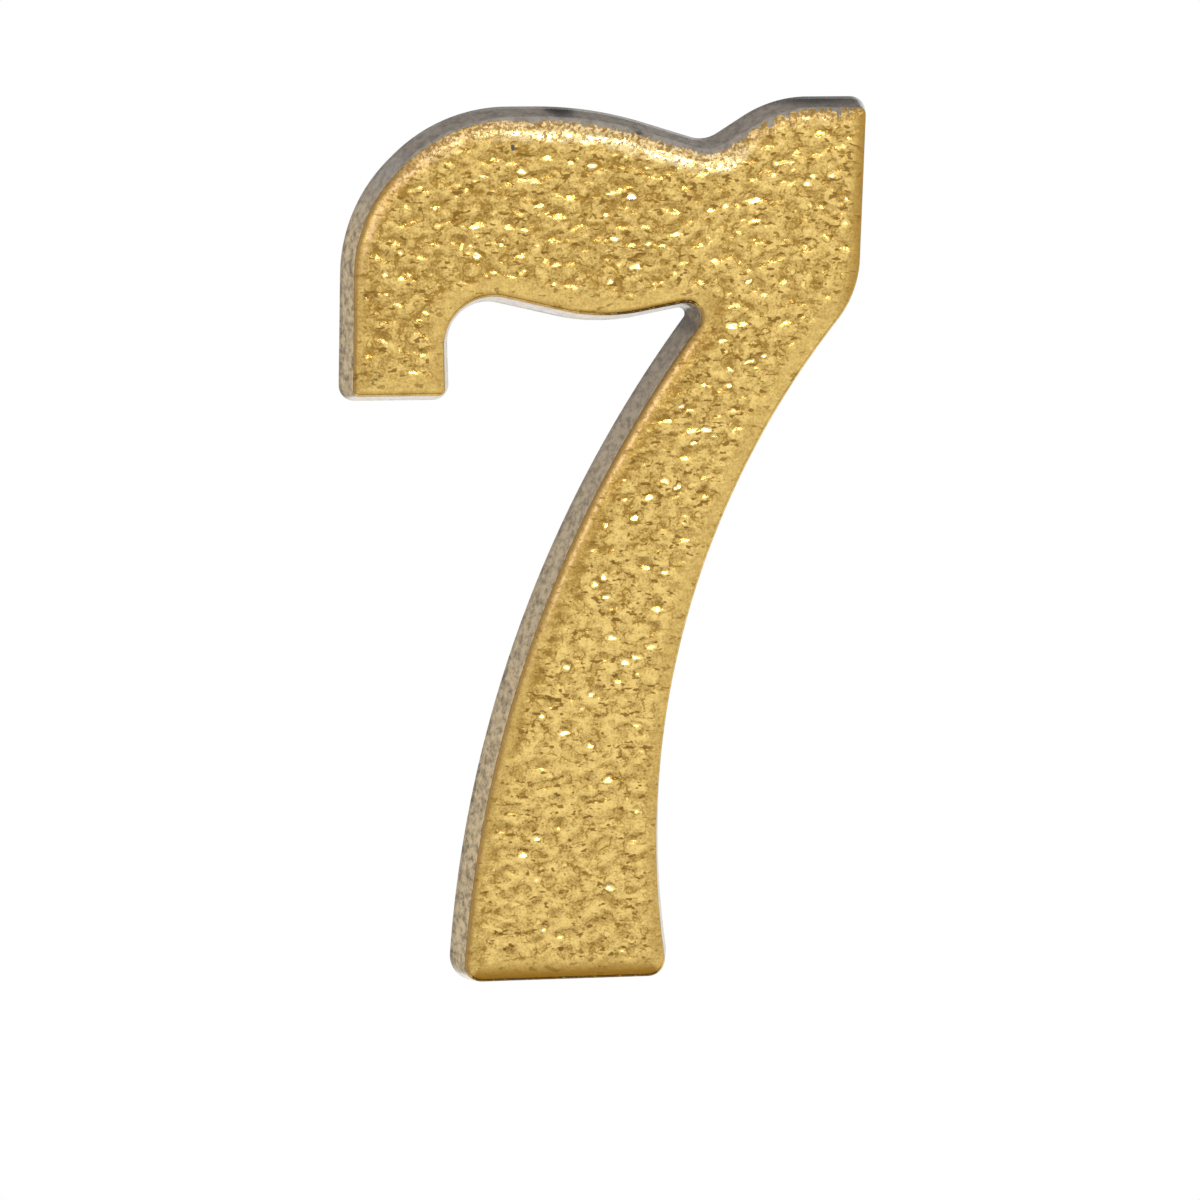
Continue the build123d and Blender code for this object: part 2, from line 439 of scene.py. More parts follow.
def hammeredFace(x, z, clear, h, s):
    # Depth of the face: broad and fine relief and facets, all fading out towards the plain border,
    # and a grain that runs on. The broad and fine relief, the facets and the fading go on as marks
    heightOf = math.sqrt(2) / (2 * math.pi)   # from a slope and a wavelength to a spread of depth
    broad = waveField(x, z, h["wave"], h["stretch"], h["waveSeed"])
    fine = waveField(x, z, h["ripple"], h["stretch"], h["rippleSeed"])
    relief = heightOf * (h["waveSlope"] * h["wave"] * broad + h["rippleSlope"] * h["ripple"] * fine)
    facet, window = facetField(x, z, s, h)
    relief = h["soft"] * np.log1p(np.exp((h["sink"] + relief) / h["soft"])) * (1.0 - window) + facet
    grain = h["grain"] * (1.0 + smoothNoise(x, z, h["grainLength"], h["grainSeed"]))
    stray = h["fadeStray"] * smoothNoise(x, z, h["fadeLength"], h["fadeSeed"])
    fade = smoothStep(clear - stray, 0.0, h["borderFade"])
    return fade * relief + grain, broad, fine, window, fade


def rolledFace(x, z, gap, side, share, e):
    # Depth of the roll: its drop times the square of what is left of its width. Where it faces up
    # its width strays, and its surface is ruffled
    width, fall = rollSizes(e, share)[:2]
    inward = smoothStep(gap, 0.0, e["rimCalm"])
    stray = e["wander"] * smoothNoise(x, z, e["wanderLength"], e["wanderSeed"])
    strayed = gap + stray * share * unit(side[:, 1]) ** 2 * inward
    ruffle = e["ruffle"] * smoothNoise(x, z, e["ruffleLength"], e["ruffleSeed"])
    ruffle *= np.sqrt(share) * inward * smoothStep(-gap, *e["ruffleFade"])
    return fall * unit(1.0 - strayed / width) ** 2 + ruffle


def plainWidth(out, share, h):
    # Width of the plain border, greater along the edges that face down and along the rolled top
    low, high = h["belowFacing"]
    below = h["plainBelow"] * unit((-out[:, 1] - low) / (high - low))
    return h["border"] + below + h["plainAbove"] * share * unit(out[:, 1])


def paintedHighlightBand(flat, gap, share, b):
    # Painted highlight: a bright band just inside the rolled edge, on the bar and on the upper half of the
    # stem, broader and further in on the shoulder
    x, z = flat.T
    high = np.where(x < serifRight, smoothStep(z, *b["shineSerif"]), smoothStep(z, *b["shineStem"]))
    shoulder = smoothStep(-x, *b["shoulderLeft"]) * smoothStep(z, *b["shoulderHigh"])
    middle = b["shineGap"] + b["shoulderGap"] * shoulder
    spread = b["shineSpread"] + b["shoulderSpread"] * shoulder
    return unit(b["shineGain"] * share) * high * bell(gap, middle, spread)


def shadedBand(flat, gap, side, b):
    # Painted shade: browned strips along the foot, along the spur's right side and under the bar near the
    # crotch, where the edge faces down or right
    x, z = flat.T
    foot = smoothStep(-side[:, 1], *b["footFacing"]) * smoothStep(-z, *b["footLow"])
    foot *= smoothStep(-gap, *b["footWidth"])
    spur = smoothStep(side[:, 0], *b["steep"]) * smoothStep(z, *b["spurHigh"])
    spur *= smoothStep(-gap, *b["spurWidth"])
    under = smoothStep(-side[:, 1], *b["steep"]) * smoothStep(-gap, *b["underWidth"])
    under *= b["underLeast"] + b["underMore"] * smoothStep(x, *b["underRight"])
    return unit(foot + b["spurShade"] * spur + under * smoothStep(z, *b["underHigh"]))


def paintedUnderShade(place, out, b):
    # Painted shade: a dark line where the edge turns under, along the foot and beneath the bar near the
    # crotch
    x, z = place.T
    where = np.where(z < 0.0, smoothStep(-z, *b["footLow"]), smoothStep(x, *b["lineRight"]))
    return b["lineStrength"] * smoothStep(-out[:, 1], *b["steep"]) * where


def bandTone(x, z, gap, side, fade, b):
    # Painted light along the edges that face down and painted shade in a band beside those that face left,
    # and darker on the bar than low on the stem
    left = smoothStep(-side[:, 0], *b["leftFacing"]) * bell(gap, b["leftGap"], b["leftSpread"])
    left *= b["leftTone"] + b["stemTone"] * smoothStep(z, *b["stemHigh"]) * (x > serifRight)
    right = 1.0 - b["barRightLess"] * smoothStep(x, *b["barRight"])
    bar = fade * (b["barTone"] * smoothStep(z, *b["barHigh"]) * right - b["lift"])
    down = unit(-side[:, 1] * b["downGain"]) * (1.0 - fade)
    return b["downTone"] * down - left - bar


def wearSpots(points, spots):
    # Oval spots, each fading out from its middle, the strongest one counting where they meet
    amount = np.zeros(len(points))
    for x, z, long, high, turn, strength in spots:
        a = math.radians(turn)
        dx, dz = points[:, 0] - x, points[:, 2] - z
        along, across = dx * math.cos(a) + dz * math.sin(a), dz * math.cos(a) - dx * math.sin(a)
        ring = (along / long) ** 2 + (across / high) ** 2
        amount = np.maximum(amount, strength * np.exp(-ring ** 2))
    return amount


def gridFaces(rows, columns):
    # Four-cornered faces between the points of a grid, and the points once round its border
    index = np.arange(rows * columns).reshape(rows, columns)
    quads = np.stack([index[:-1, :-1], index[:-1, 1:], index[1:, 1:], index[1:, :-1]], -1).reshape(-1, 4)
    loop = np.concatenate([index[:-1, 0], index[-1, :-1], index[:0:-1, -1], index[0, :0:-1]])
    return quads, loop


def wallFaces(loop, first, count):
    # Four-cornered faces from the loop on over the rings of the wall, and the last ring by itself
    rings = np.vstack([loop[None], first + np.arange(count).reshape(-1, len(loop))])
    ahead = np.roll(rings, -1, axis=1)
    return np.stack([rings[:-1], ahead[:-1], ahead[1:], rings[1:]], -1).reshape(-1, 4), rings[-1]


def numeralMesh(s, e, h, b):
    # Hammered front grid, then the edge profile carried round the outline, then the flat back,
    # with the marks that the finish reads at every point
    grid, rim = ribbonGrid(s, e)
    flat = grid.reshape(-1, 2)
    x, z = flat.T
    place, out = outlineAt(rim)
    inset, drop, run = edgeProfile(s, e, place, out)
    denseAt = np.arange(0.0, outlineLength[-1], s["rimStep"])
    dense, denseOut = outlineAt(denseAt)
    border = plainWidth(denseOut, rollShare(e, dense, denseOut), h)[None]
    gap, which, clear = nearestOn(flat, rimAt(s, e, denseAt), border)
    side = denseOut[which]
    share = rollShare(e, dense[which], side)
    dent, broad, fine, window, fade = hammeredFace(x, z, clear, h, s)
    sunk = rolledFace(x, z, gap, side, share, e) + dent * unit(gap / e["dentCalm"])
    front = np.stack([x, np.maximum(sunk, 0.0) - s["depth"], z], 1)
    quads, loop = gridFaces(*grid.shape[:2])
    front[loop, 1] = drop[0] - s["depth"]
    rings = place[None] - inset[1:, :, None] * out[None]
    wall = np.stack([rings[..., 0], drop[1:] - s["depth"], rings[..., 1]], -1).reshape(-1, 3)
    walls, backRing = wallFaces(loop, len(front), len(wall))
    faces = np.vstack([quads, walls])[:, ::-1].tolist() + [backRing[::-1].tolist()]
    points = np.vstack([front, wall])

    width, fall, radius = rollSizes(e, share)
    startRun = -radius * (math.radians(90 - s["draft"]) - np.arctan(2 * fall / width))
    count, wallRun = len(loop), run[1:].ravel()
    lineStart, lineEnd = b["lineRun"]
    outlineShade = shadedBand(place, np.zeros(count), out, b)

    def onWall(values):
        # The same values on every ring of the wall
        return np.tile(values, len(run) - 1)

    # Marks for the finish, among them the painted highlight band, the bands of painted light and shade and
    # the painted shade strips
    faceMarks = {
        "rimRun": startRun - gap, "openEdge": openSide(e, side), "wideEdge": share, "upEdge": side[:, 1],
        "bandTone": bandTone(x, z, gap, side, fade, b), "swell": broad, "ripple": fine, "facet": window,
        "hammered": fade, "paintedHighlight": paintedHighlightBand(flat, gap, share, b),
        "edgeShade": shadedBand(flat, gap, side, b), "paintedUnderShade": np.zeros(len(front)),
    }
    rimMarks = {
        "rimRun": run[0], "openEdge": openSide(e, out), "wideEdge": rollShare(e, place, out),
        "upEdge": out[:, 1],
    }
    wallMarks = {name: onWall(values) for name, values in rimMarks.items()}
    wallMarks["rimRun"] = wallRun
    # Painted shade strips and the painted shade line run on over the rounding of the wall
    wallMarks["edgeShade"] = onWall(outlineShade) * (wallRun < lineEnd)
    wallMarks["paintedUnderShade"] = onWall(paintedUnderShade(place, out, b)) * (wallRun > lineStart) * (wallRun < lineEnd)
    marks = {name: np.concatenate([values, wallMarks.get(name, np.zeros(len(wall)))])
             for name, values in faceMarks.items()}
    for name, values in rimMarks.items():
        marks[name][loop] = values
    # Chips and smudges, and painted shade in the crotch
    marks["soiledAndShaded"] = wearSpots(points, chipsAndShade)
    # Stains, and the painted shade line where the edge turns under, in one mark
    marks["stained"] = np.maximum(wearSpots(points, stains), marks.pop("paintedUnderShade"))
    for name in ("upEdge", "soiledAndShaded"):
        marks[name][-count:] = 0.0   # the back is plain
    return points * mm, faces, marks


def meshObject(name, points, faces):
    # An object at the origin with the given points and faces
    mesh = bpy.data.meshes.new(name)
    mesh.from_pydata(points.tolist(), [], faces)
    mesh.update()
    piece = bpy.data.objects.new(name, mesh)
    scene.collection.objects.link(piece)
    return piece


points, faces, marks = numeralMesh(numeral, edge, hammer, bands)
seven = meshObject("hammered_seven", points, faces)
for name, values in marks.items():
    seven.data.attributes.new(name, "FLOAT", "POINT").data.foreach_set("value", values.astype(np.float32))
seven.data.polygons.foreach_set("use_smooth", [True] * (len(faces) - 1) + [False])
sharpFrom = math.radians(50)
seven.data.set_sharp_from_angle(angle=sharpFrom)
print("numeral", len(points), "points,", len(faces), "faces")


class Nodes:
    # Short calls for building a node tree
    def __init__(self, block):
        # The emptied tree of a new material or world
        block.use_nodes = True
        self.tree = block.node_tree
        self.tree.nodes.clear()

    def show(self, shader, kind="ShaderNodeOutputMaterial"):
        # The shader as the tree's result
        self.put(self.add(kind).inputs["Surface"], shader.outputs[0])

    def add(self, kind, inputs=None, **settings):
        # A node with its settings and inputs
        made = self.tree.nodes.new(kind)
        for name, value in settings.items():
            setattr(made, name, value)
        for name, value in (inputs or {}).items():
            self.put(made.inputs[name], value)
        return made

    def put(self, socket, value):
        # A link where the value is a socket, or else the value itself
        if isinstance(value, bpy.types.NodeSocket):
            self.tree.links.new(value, socket)
        else:
            socket.default_value = value

    def maths(self, operation, a, b=0.0, c=0.0):
        return self.add("ShaderNodeMath", {0: a, 1: b, 2: c}, operation=operation).outputs[0]

    def times(self, a, b):
        return self.maths("MULTIPLY", a, b)

    def plus(self, a, b):
        return self.maths("ADD", a, b)

    def most(self, a, b):
        return self.maths("MAXIMUM", a, b)

    def scaled(self, value, factor, offset):
        # Value times factor, plus the offset
        return self.maths("MULTIPLY_ADD", value, factor, offset)

    def ramp(self, value, low, high, start=0.0, end=1.0):
        # From start to end, smoothly, as the value goes from low to high
        inputs = {"Value": value, "From Min": low, "From Max": high, "To Min": start, "To Max": end}
        return self.add("ShaderNodeMapRange", inputs, interpolation_type="SMOOTHSTEP").outputs[0]

    def noise(self, where, length, detail, rough):
        # Noise between zero and one, its length in mm
        inputs = {"Vector": where, "Scale": 1.0 / (length * mm), "Detail": detail, "Roughness": rough}
        return self.add("ShaderNodeTexNoise", inputs).outputs["Fac"]

    def spots(self, where, pattern, start=0.0, end=1.0, less=0.0):
        # Noise, less an amount, that starts to count at one value and is full at another
        length, detail, rough, low, high = pattern
        noise = self.maths("SUBTRACT", self.noise(where, length, detail, rough), less)
        return self.ramp(noise, low, high, start, end)

    def sway(self, where, pattern):
        # Noise that goes equally far either way from zero
        length, detail, rough, reach = pattern
        return self.scaled(self.noise(where, length, detail, rough), 2 * reach, -reach)

    def blend(self, share, a, b, way="MIX"):
        # Colour a, going over to b by the share
        made = self.add("ShaderNodeMix", data_type="RGBA", blend_type=way)
        self.put(made.inputs["Factor"], share)
        self.put(made.inputs["A"], a)
        self.put(made.inputs["B"], b)
        return made.outputs["Result"]


# Foil and plastic
finish = {
    # colours in linear light
    "paleGold": (0.93, 0.675, 0.228, 1.0), "deepGold": (0.36, 0.205, 0.04, 1.0),
    "highlightColour": (0.98, 0.66, 0.34, 1.0), "brown": (0.29, 0.18, 0.06, 1.0),
    "creamHighlight": (0.90, 0.77, 0.48, 1.0), "shadeUmber": (0.33, 0.17, 0.022, 1.0),
    "speck": (0.24, 0.125, 0.022, 1.0), "stain": (0.10, 0.06, 0.018, 1.0),
    "soilAndShade": (0.022, 0.018, 0.018, 1.0), "mottleTint": (0.24, 0.22, 0.185, 1.0),
    "litSideGrey": (0.66, 0.51, 0.29, 1.0), "grey": (0.31, 0.272, 0.23, 1.0),
    # roughness of whole and worn foil, and of the plastic beside the foil and further back
    "foilRough": 0.16, "wornRough": 0.55, "wallEdgeRough": 0.6, "plasticRough": 0.2, "wallEdge": (0.0, 0.4),
    # spots: length in mm, detail, roughness of the noise, then where it starts to count and is full
    "teeth": (0.4, 2.0, 0.5, 0.5, 0.65), "swellGate": (0.75, 1.0, 0.5, 0.44, 0.6),
    "rippleGate": (0.6, 1.0, 0.5, 0.46, 0.6), "ringGate": (0.5, 1.0, 0.5, 0.42, 0.58),
    "dashes": (0.38, 2.0, 0.6, 0.57, 0.7), "shine": (0.65, 1.0, 0.6, 0.4, 0.52),
    "creamSpots": (0.4, 2.0, 0.6, 0.36, 0.58), "flecks": (0.3, 2.0, 0.7, 0.53, 0.62),
    "whole": (0.33, 2.0, 0.7, 0.45, 0.55), "pinholes": (0.4, 1.0, 0.5, 0.64, 0.69),
    "stainAndShadeSpots": (0.28, 2.0, 0.6, 0.36, 0.56), "mottle": (0.64, 4.0, 0.72, 0.36, 0.7),
    "scuffs": (0.32, 3.0, 0.7, 0.31, 0.45),
    # sways: length in mm, detail, roughness of the noise, then how far it goes either way
    "rags": (0.35, 3.0, 0.7, 0.9), "waver": (0.4, 2.0, 0.6, 1.2), "cloud": (1.4, 3.0, 0.6, 0.45),
    "patch": (0.55, 2.0, 0.6, 0.5), "grain": (0.19, 1.0, 0.6, 0.7),
    # scale of a pattern along x, y and z: below one it is drawn out
    "upright": (1.0, 1.0, 0.15), "flatwise": (0.5, 1.0, 1.0), "deepwise": (1.0, 0.5, 1.0),
    # how far an edge faces up, from not at all to fully
    "upFacing": (0.15, 0.75), "topFacing": (0.5, 0.9), "creamFacing": (0.55, 0.85),
    "plainFacing": (0.25, 0.65), "plainFrom": (0.3, 1.0),
    # torn edge, in mm: lengths of rags and teeth, and how far the foil is drawn back
    "ragTop": 0.4, "ragLeast": 0.25, "toothWide": (0.3, 0.48), "toothLong": 0.8, "toothShort": 0.12,
    "wideBack": 0.1, "topBack": 0.5, "tornEdge": (-0.02, 0.12), "soilThrough": (0.55, 0.7),
    # strokes: levels of relief they follow, where they fade out, and weights
    "swellLevel": 0.5, "rippleLevel": 0.9, "strokeWidth": (0.06, 0.38), "rippleWeight": 0.8,
    "ringOuter": (0.0, 0.15), "ringInner": (0.3, 0.6), "ringWeight": 1.1, "dashWeight": 0.8,
    # tone of the gold, with painted light and shade of the relief: what each mark adds, and the range from
    # deep to pale
    "baseTone": 0.6, "hammeredTone": 0.16, "swellTone": -0.12, "rippleTone": -0.08, "facetTone": 0.25,
    "strokeTone": -0.66, "toneRange": (-0.1, 1.45), "speckleFace": 0.35, "speckleBorder": 0.65,
    # strength of the painted shine, the painted cream highlight, the flecks and the pinholes, with fewer
    # pinholes low down
    "shineShares": (0.2, 1.0), "creamShares": (0.1, 0.6), "fleckShare": 0.75, "pinholeShare": 0.9,
    "lowHeights": (-0.025, 0.02), "lowFewer": 0.014,
    # worn strip along the torn edge, partly painted shade on the steep rounding, in mm
    "wornShadeTop": -0.22, "wornShadeOpen": -0.38, "wornShadeLeast": -0.12, "wornShadeRange": (-0.2, 0.3),
    "wornShadeShare": 0.95, "wholeLess": -0.85,
    # plastic: running length that the back starts between, and where the mottle is weaker
    "backFrom": (5.5, 8.5), "upMottle": -0.45, "backMottle": -0.5,
    "scuffWide": 0.14, "facetCalm": -0.85,
    # fine bumps of the foil: length in mm, detail, roughness, then strength and height in mm
    "bumps": (0.35, 2.0, 0.6), "bumpStrength": 0.6, "bumpHeight": 0.03,
}


def readMarks(n, f, names):
    # The numeral's own marks, the places that patterns are laid out by, and how far an edge faces up
    m = {name: n.add("ShaderNodeAttribute", attribute_name=name).outputs["Fac"] for name in names}
    m["where"] = n.add("ShaderNodeTexCoord").outputs["Object"]
    m["height"] = n.add("ShaderNodeSeparateXYZ", {0: m["where"]}).outputs["Z"]
    for name in ("upright", "flatwise", "deepwise"):
        m[name] = n.add("ShaderNodeMapping", {"Vector": m["where"], "Scale": f[name]}).outputs[0]
    m["upFacing"] = n.ramp(m["upEdge"], *f["upFacing"])
    m["topFacing"] = n.ramp(m["upEdge"], *f["topFacing"])
    m["wideTop"] = n.times(m["topFacing"], m["wideEdge"])
    m["plainTop"] = n.times(n.ramp(m["hammered"], *f["plainFrom"], 1.0, 0.0),
                            n.ramp(m["upEdge"], *f["plainFacing"]))
    m["speckled"] = n.scaled(m["hammered"], f["speckleFace"], f["speckleBorder"])
    return m


def tornRun(n, f, m):
    # Running length past the foil's edge: the rim's own, moved by small rags everywhere and by
    # upright teeth along the top, longest on the spur
    rags = n.times(n.sway(m["where"], f["rags"]), n.scaled(m["wideTop"], f["ragTop"], f["ragLeast"]))
    reach = n.ramp(m["wideEdge"], *f["toothWide"], f["toothLong"], f["toothShort"])
    teeth = n.times(n.spots(m["upright"], f["teeth"]), n.times(reach, m["topFacing"]))
    torn = n.plus(n.scaled(m["wideEdge"], f["wideBack"], m["rimRun"]), n.plus(rags, teeth))
    return n.scaled(m["wideTop"], f["topBack"], torn)


def contour(n, f, m, relief, level, gate):
    # A stroke where the wavering relief passes a level, broken up by a gate of noise
    wavered = n.plus(m[relief], n.sway(m["where"], f["waver"]))
    away = n.maths("ABSOLUTE", n.maths("SUBTRACT", wavered, level))
    return n.times(n.ramp(away, *f["strokeWidth"], 1.0, 0.0), n.spots(m["where"], gate))


def darkStrokes(n, f, m):
    # Painted shade: thin strokes along the contours of the broad and the fine relief and round the facets,
    # and level dashes, added up by their weights
    broad = contour(n, f, m, "swell", f["swellLevel"], f["swellGate"])
    fine = contour(n, f, m, "ripple", f["rippleLevel"], f["rippleGate"])
    strokes = n.scaled(fine, f["rippleWeight"], broad)
    ring = n.times(n.ramp(m["facet"], *f["ringOuter"]), n.ramp(m["facet"], *f["ringInner"], 1.0, 0.0))
    ring = n.times(ring, n.spots(m["where"], f["ringGate"]))
    strokes = n.scaled(ring, f["ringWeight"], strokes)
    return n.scaled(n.spots(m["flatwise"], f["dashes"]), f["dashWeight"], strokes)


def plainGold(n, f, m):
    # Gold between deep and pale by its tone: a base, the painted light and shade of the relief inside the
    # hammered part with lighter facets and darker strokes, the bands along the edges with their painted
    # light and shade, and cloud, patches and grain
    shade = n.scaled(m["swell"], f["swellTone"], n.scaled(m["ripple"], f["rippleTone"], f["hammeredTone"]))
    shade = n.scaled(m["facet"], f["facetTone"], shade)
    shade = n.scaled(darkStrokes(n, f, m), f["strokeTone"], shade)
    speckle = n.plus(n.sway(m["flatwise"], f["patch"]), n.sway(m["where"], f["grain"]))
    speckle = n.times(n.plus(n.sway(m["where"], f["cloud"]), speckle), m["speckled"])
    tone = n.plus(n.scaled(shade, m["hammered"], f["baseTone"]), m["bandTone"])
    return n.blend(n.ramp(n.plus(tone, speckle), *f["toneRange"]), f["deepGold"], f["paleGold"])


def wearAndEdgeShade(n, f, m, torn):
    # Worn strip along the torn edge, partly painted shade on the steep rounding, wider where the edge is
    # open and along the top, and flecks in the plain border of the edges that face up
    wornShadeFrom = n.scaled(m["topFacing"], f["wornShadeTop"], n.scaled(m["openEdge"], f["wornShadeOpen"], f["wornShadeLeast"]))
    wornAndShaded = n.ramp(n.maths("SUBTRACT", torn, wornShadeFrom), *f["wornShadeRange"])
    return wornAndShaded, n.times(m["plainTop"], n.spots(m["where"], f["flecks"]))


def foilColour(n, f, m, wornAndShaded, flecks):
    # Gold, then over it the painted highlight and painted cream of the edges, flecks, the painted shade
    # strips, the worn strip with its painted shade, pinholes, and stains with the painted shade line, each
    # by its own share
    gold = plainGold(n, f, m)
    # Painted highlight: pale gold in the band inside the rolled edge, broken by spots
    shine = n.times(m["paintedHighlight"], n.spots(m["where"], f["shine"], *f["shineShares"]))
    gold = n.blend(shine, gold, f["highlightColour"])
    # Painted highlight: cream gold along the top edges that face up, where the top lamp's highlight lies
    creamy = n.times(m["plainTop"], n.spots(m["where"], f["creamSpots"], *f["creamShares"]))
    wideCream = n.times(m["wideEdge"], n.ramp(m["upEdge"], *f["creamFacing"]))
    gold = n.blend(n.times(creamy, wideCream), gold, f["creamHighlight"])
    gold = n.blend(n.times(flecks, f["fleckShare"]), gold, f["brown"])
    # Painted shade: umber strips along the edges that face down or right
    gold = n.blend(m["edgeShade"], gold, f["shadeUmber"])
    whole = n.times(n.spots(m["where"], f["whole"]), m["topFacing"])
    # Worn strip and painted shade on the steep rounding, in brown
    gold = n.blend(n.times(wornAndShaded, n.scaled(whole, f["wholeLess"], f["wornShadeShare"])), gold, f["brown"])
    fewer = n.ramp(m["height"], *f["lowHeights"], f["lowFewer"], 0.0)
    pinholes = n.times(n.spots(m["flatwise"], f["pinholes"], less=fewer), m["speckled"])
    gold = n.blend(n.times(pinholes, f["pinholeShare"]), gold, f["speck"])
    # Stains and the painted shade line under the edges, in dark brown
    return n.blend(n.times(m["stained"], n.spots(m["where"], f["stainAndShadeSpots"])), gold, f["stain"])


def plasticColour(n, f, m):
    # Grey with painted light: warmer and lighter on the sides than on top and on the back, mottled, with
    # dark soiled places and painted shade in the crotch
    back = n.ramp(m["rimRun"], *f["backFrom"])
    grey = n.blend(n.most(m["upFacing"], back), f["litSideGrey"], f["grey"])
    strength = n.scaled(m["upFacing"], f["upMottle"], n.scaled(back, f["backMottle"], 1.0))
    mottle = n.times(n.spots(m["deepwise"], f["mottle"]), strength)
    return n.blend(m["soiledAndShaded"], n.blend(mottle, grey, f["mottleTint"], "MULTIPLY"), f["soilAndShade"])


def surfaceRough(n, f, m, foil, wornAndShaded, flecks):
    # Worn, flecked and scuffed foil is rough, so that its shine is broken, and so is the plastic
    # right beside the foil
    scuffs = n.spots(m["where"], f["scuffs"], less=n.times(m["wideEdge"], f["scuffWide"]))
    scuffs = n.most(n.most(wornAndShaded, flecks), n.times(scuffs, m["plainTop"]))
    foilRough = n.scaled(scuffs, f["wornRough"] - f["foilRough"], f["foilRough"])
    plastic = n.ramp(m["rimRun"], *f["wallEdge"], f["wallEdgeRough"], f["plasticRough"])
    return n.add("ShaderNodeMix", {"Factor": foil, "A": plastic, "B": foilRough}).outputs[0]


def foilBump(n, f, m, foil):
    # Fine bumps on the foil alone, calmer on the facets
    calm = n.scaled(m["facet"], f["facetCalm"], 1.0)
    height = n.times(n.noise(m["where"], *f["bumps"]), n.times(foil, calm))
    inputs = {"Strength": f["bumpStrength"], "Distance": f["bumpHeight"] * mm, "Height": height}
    return n.add("ShaderNodeBump", inputs).outputs[0]


def foilOverPlastic(f, names):
    # Metal where the foil is whole, plastic past its torn edge and in the soiled places
    material = bpy.data.materials.new("gold_foil_over_grey_plastic")
    n = Nodes(material)
    m = readMarks(n, f, names)
    torn = tornRun(n, f, m)
    foil = n.times(n.ramp(torn, *f["tornEdge"], 1.0, 0.0), n.ramp(m["soiledAndShaded"], *f["soilThrough"], 1.0, 0.0))
    wornAndShaded, flecks = wearAndEdgeShade(n, f, m, torn)
    shader = n.add("ShaderNodeBsdfPrincipled", {
        "Base Color": n.blend(foil, plasticColour(n, f, m), foilColour(n, f, m, wornAndShaded, flecks)),
        "Metallic": foil, "Roughness": surfaceRough(n, f, m, foil, wornAndShaded, flecks),
        "Normal": foilBump(n, f, m, foil)})
    n.show(shader)
    return material


seven.data.materials.append(foilOverPlastic(finish, list(marks)))
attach(seven, "root")
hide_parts("numeral")
print("finish applied")

# Studio: floor, cards that only reflections see, lamps and world, in metres and degrees
studio = {
    "floorDrop": 0.80, "floorSize": 6.0, "floorColour": (0.82, 0.82, 0.82, 1.0), "floorLift": 0.6,
    "worldLevel": 0.9,
    "plainWhite": (1.0, 1.0, 1.0, 1.0), "warmDark": (0.28, 0.19, 0.08, 1.0),
    "darkGrey": (0.08, 0.08, 0.08, 1.0), "middleGrey": (0.30, 0.30, 0.30, 1.0),
    "cards": [   # name, azimuth, elevation, distance, width, height, colours of the top and the bottom
        ("card_below", 4.0, -31.0, 0.75, 1.60, 0.55, "plainWhite", "warmDark"),
        ("card_behind_top", 172.0, 30.0, 0.45, 0.60, 0.22, "darkGrey", "darkGrey"),
        ("card_behind_left", -150.0, 2.0, 0.45, 0.40, 0.50, "middleGrey", "middleGrey"),
    ],
    "lamps": [   # name, azimuth, elevation, distance, width, height, radiance, colour
        ("lamp_top", 8.0, 16.0, 0.90, 0.11, 0.12, 27.0, (1.0, 0.98, 0.96)),
        ("lamp_corner", -23.0, 15.0, 0.80, 0.16, 0.18, 1.7, (1.0, 0.86, 0.76)),
        ("lamp_left", -75.0, 4.0, 0.80, 0.40, 0.50, 1.3, (1.0, 0.86, 0.70)),
    ],
}


def direction(azimuth, elevation):
    # Unit direction from the object, azimuth to the right of the front and elevation upwards
    a, e = math.radians(azimuth), math.radians(elevation)
    return np.array([math.sin(a) * math.cos(e), -math.cos(a) * math.cos(e), math.sin(e)])


def faceTowards(obj, place, target):
    # Turn a camera or lamp at a place so that it looks at the target
    obj.location = place
    obj.rotation_euler = (Vector(target) - Vector(place)).to_track_quat("-Z", "Y").to_euler()


def seenRays(n):
    # One for rays from the camera, from gloss and through glass
    path = n.add("ShaderNodeLightPath")
    seen = n.most(path.outputs["Is Camera Ray"], path.outputs["Is Glossy Ray"])
    return n.most(seen, path.outputs["Is Transmission Ray"])


def floorMaterial(s):
    # Pale matt floor, with a lift for the rays that see it, so that it looks white
    material = bpy.data.materials.new("pale_floor")
    n = Nodes(material)
    matte = n.add("ShaderNodeBsdfDiffuse", {"Color": s["floorColour"]})
    lift = n.add("ShaderNodeEmission", {"Strength": n.times(seenRays(n), s["floorLift"])})
    both = n.add("ShaderNodeAddShader", {0: matte.outputs[0], 1: lift.outputs[0]})
    n.show(both)
    return material


def cardMaterial(name, bottom, top, low, high):
    # Glow that goes from the low colour at the bottom height to the high one at the top
    material = bpy.data.materials.new(name + "_grey")
    n = Nodes(material)
    upward = n.add("ShaderNodeSeparateXYZ", {0: n.add("ShaderNodeTexCoord").outputs["Object"]}).outputs["Z"]
    inputs = {"Value": upward, "From Min": bottom, "From Max": top}
    share = n.add("ShaderNodeMapRange", inputs).outputs[0]
    glow = n.add("ShaderNodeEmission", {"Color": n.blend(share, low, high)})
    n.show(glow)
    return material


def whiteWorld(s):
    # White all round, a little weaker as a light than as seen
    world = bpy.data.worlds.new("white_studio")
    n = Nodes(world)
    level = n.scaled(seenRays(n), 1.0 - s["worldLevel"], s["worldLevel"])
    sky = n.add("ShaderNodeBackground", {"Color": s["plainWhite"], "Strength": level})
    n.show(sky, "ShaderNodeOutputWorld")
    return world


squareCorners = ((-1, -1), (1, -1), (1, 1), (-1, 1))


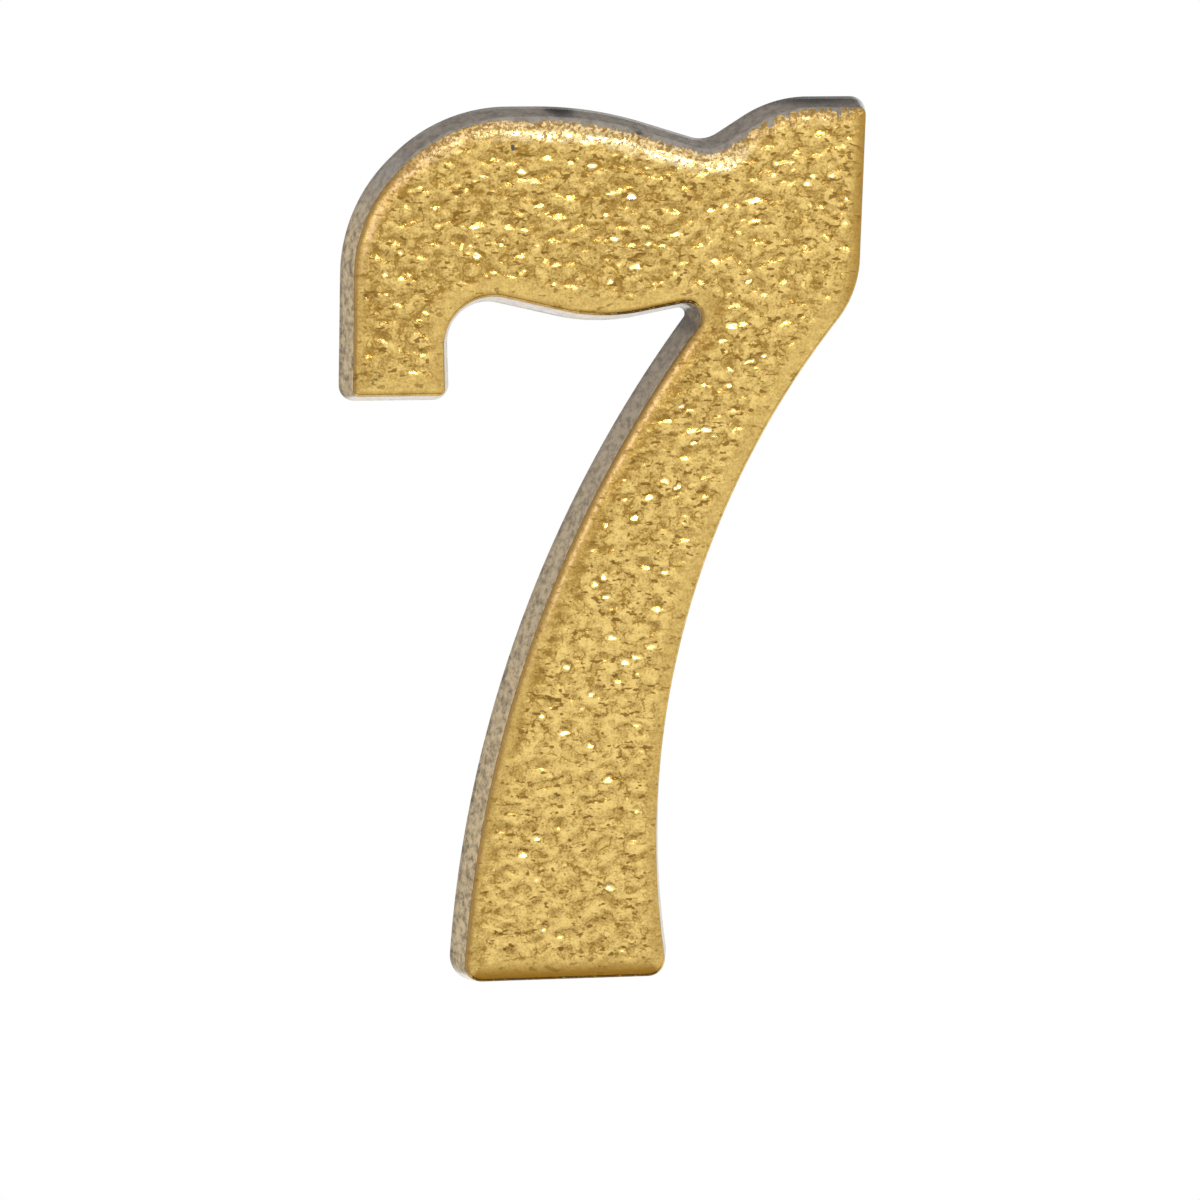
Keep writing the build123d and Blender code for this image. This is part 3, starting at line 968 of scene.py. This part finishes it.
def panel(name, place, width, height, material):
    # A flat rectangle at a place, square on to the object
    toward = -place / np.linalg.norm(place)
    across = np.cross(toward, (0.0, 0.0, 1.0))
    across = across / np.linalg.norm(across)
    up = np.cross(across, toward)
    corners = [place + a * across * width / 2 + b * up * height / 2 for a, b in squareCorners]
    piece = meshObject(name, np.array(corners), [[0, 1, 2, 3]])
    piece.data.materials.append(material)
    return piece


floorHeight = -numeral["height"] / 2 * mm - studio["floorDrop"]
half = studio["floorSize"] / 2
floorCorners = [(a * half, b * half, floorHeight) for a, b in squareCorners]
floor = meshObject("floor", np.array(floorCorners), [[0, 1, 2, 3]])
floor.data.materials.append(floorMaterial(studio))

for name, azimuth, elevation, distance, width, height, high, low in studio["cards"]:
    middle = direction(azimuth, elevation) * distance
    reach = height / 2 * math.cos(math.radians(elevation))
    glow = cardMaterial(name, middle[2] - reach, middle[2] + reach, studio[low], studio[high])
    card = panel(name, middle, width, height, glow)
    card.visible_camera = False
    card.visible_diffuse = False
    card.visible_shadow = False
    card.visible_transmission = False

for name, azimuth, elevation, distance, width, height, radiance, colour in studio["lamps"]:
    light = bpy.data.lights.new(name, "AREA")
    light.shape = "RECTANGLE"
    light.size, light.size_y = width, height
    light.energy = radiance * math.pi * width * height
    light.color = colour
    lamp = bpy.data.objects.new(name, light)
    scene.collection.objects.link(lamp)
    faceTowards(lamp, direction(azimuth, elevation) * distance, (0.0, 0.0, 0.0))

scene.world = whiteWorld(studio)
print("studio lit")

# Camera: a little left of and above the face, in metres and degrees, its lens in mm
view = {
    "azimuth": -7.67, "elevation": 7.3, "distance": 0.5, "aim": (-0.0009, -0.005, -0.00435),
    "lens": 178.77, "sensor": 36.0, "nearest": 0.01,
}
lens = bpy.data.cameras.new("camera")
lens.lens = view["lens"]
lens.sensor_width = view["sensor"]
lens.clip_start = view["nearest"]
camera = bpy.data.objects.new("camera", lens)
scene.collection.objects.link(camera)
aim = np.array(view["aim"])
faceTowards(camera, aim + direction(view["azimuth"], view["elevation"]) * view["distance"], aim)
scene.camera = camera
print("camera set")
